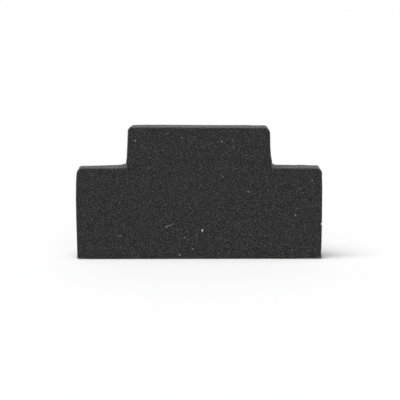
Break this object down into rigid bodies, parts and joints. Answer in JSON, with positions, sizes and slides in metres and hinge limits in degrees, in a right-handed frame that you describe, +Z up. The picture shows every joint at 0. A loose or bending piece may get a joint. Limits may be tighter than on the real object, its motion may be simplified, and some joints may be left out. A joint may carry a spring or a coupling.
{
  "type": "sponge filter",
  "caption": "Stepped block of black open-cell foam with a raised middle tab and a shoulder at each end, the filter sponge of a pond or aquarium filter.",
  "frame": {"origin": "centre of the straight bottom edge face that the block stands on", "axes": "+X along the block's length, +Y through the sheet's thickness from the front face to the back face, +Z up, from the bottom edge face to the top of the tab"},
  "size_m": [0.12, 0.02, 0.0645],
  "materials": {
    "filter_foam": "matte, charcoal black, fine open-cell polyurethane foam"
  },
  "bodies": {
    "root": {"foam_block": "filter_foam"}
  },
  "joints": []
}
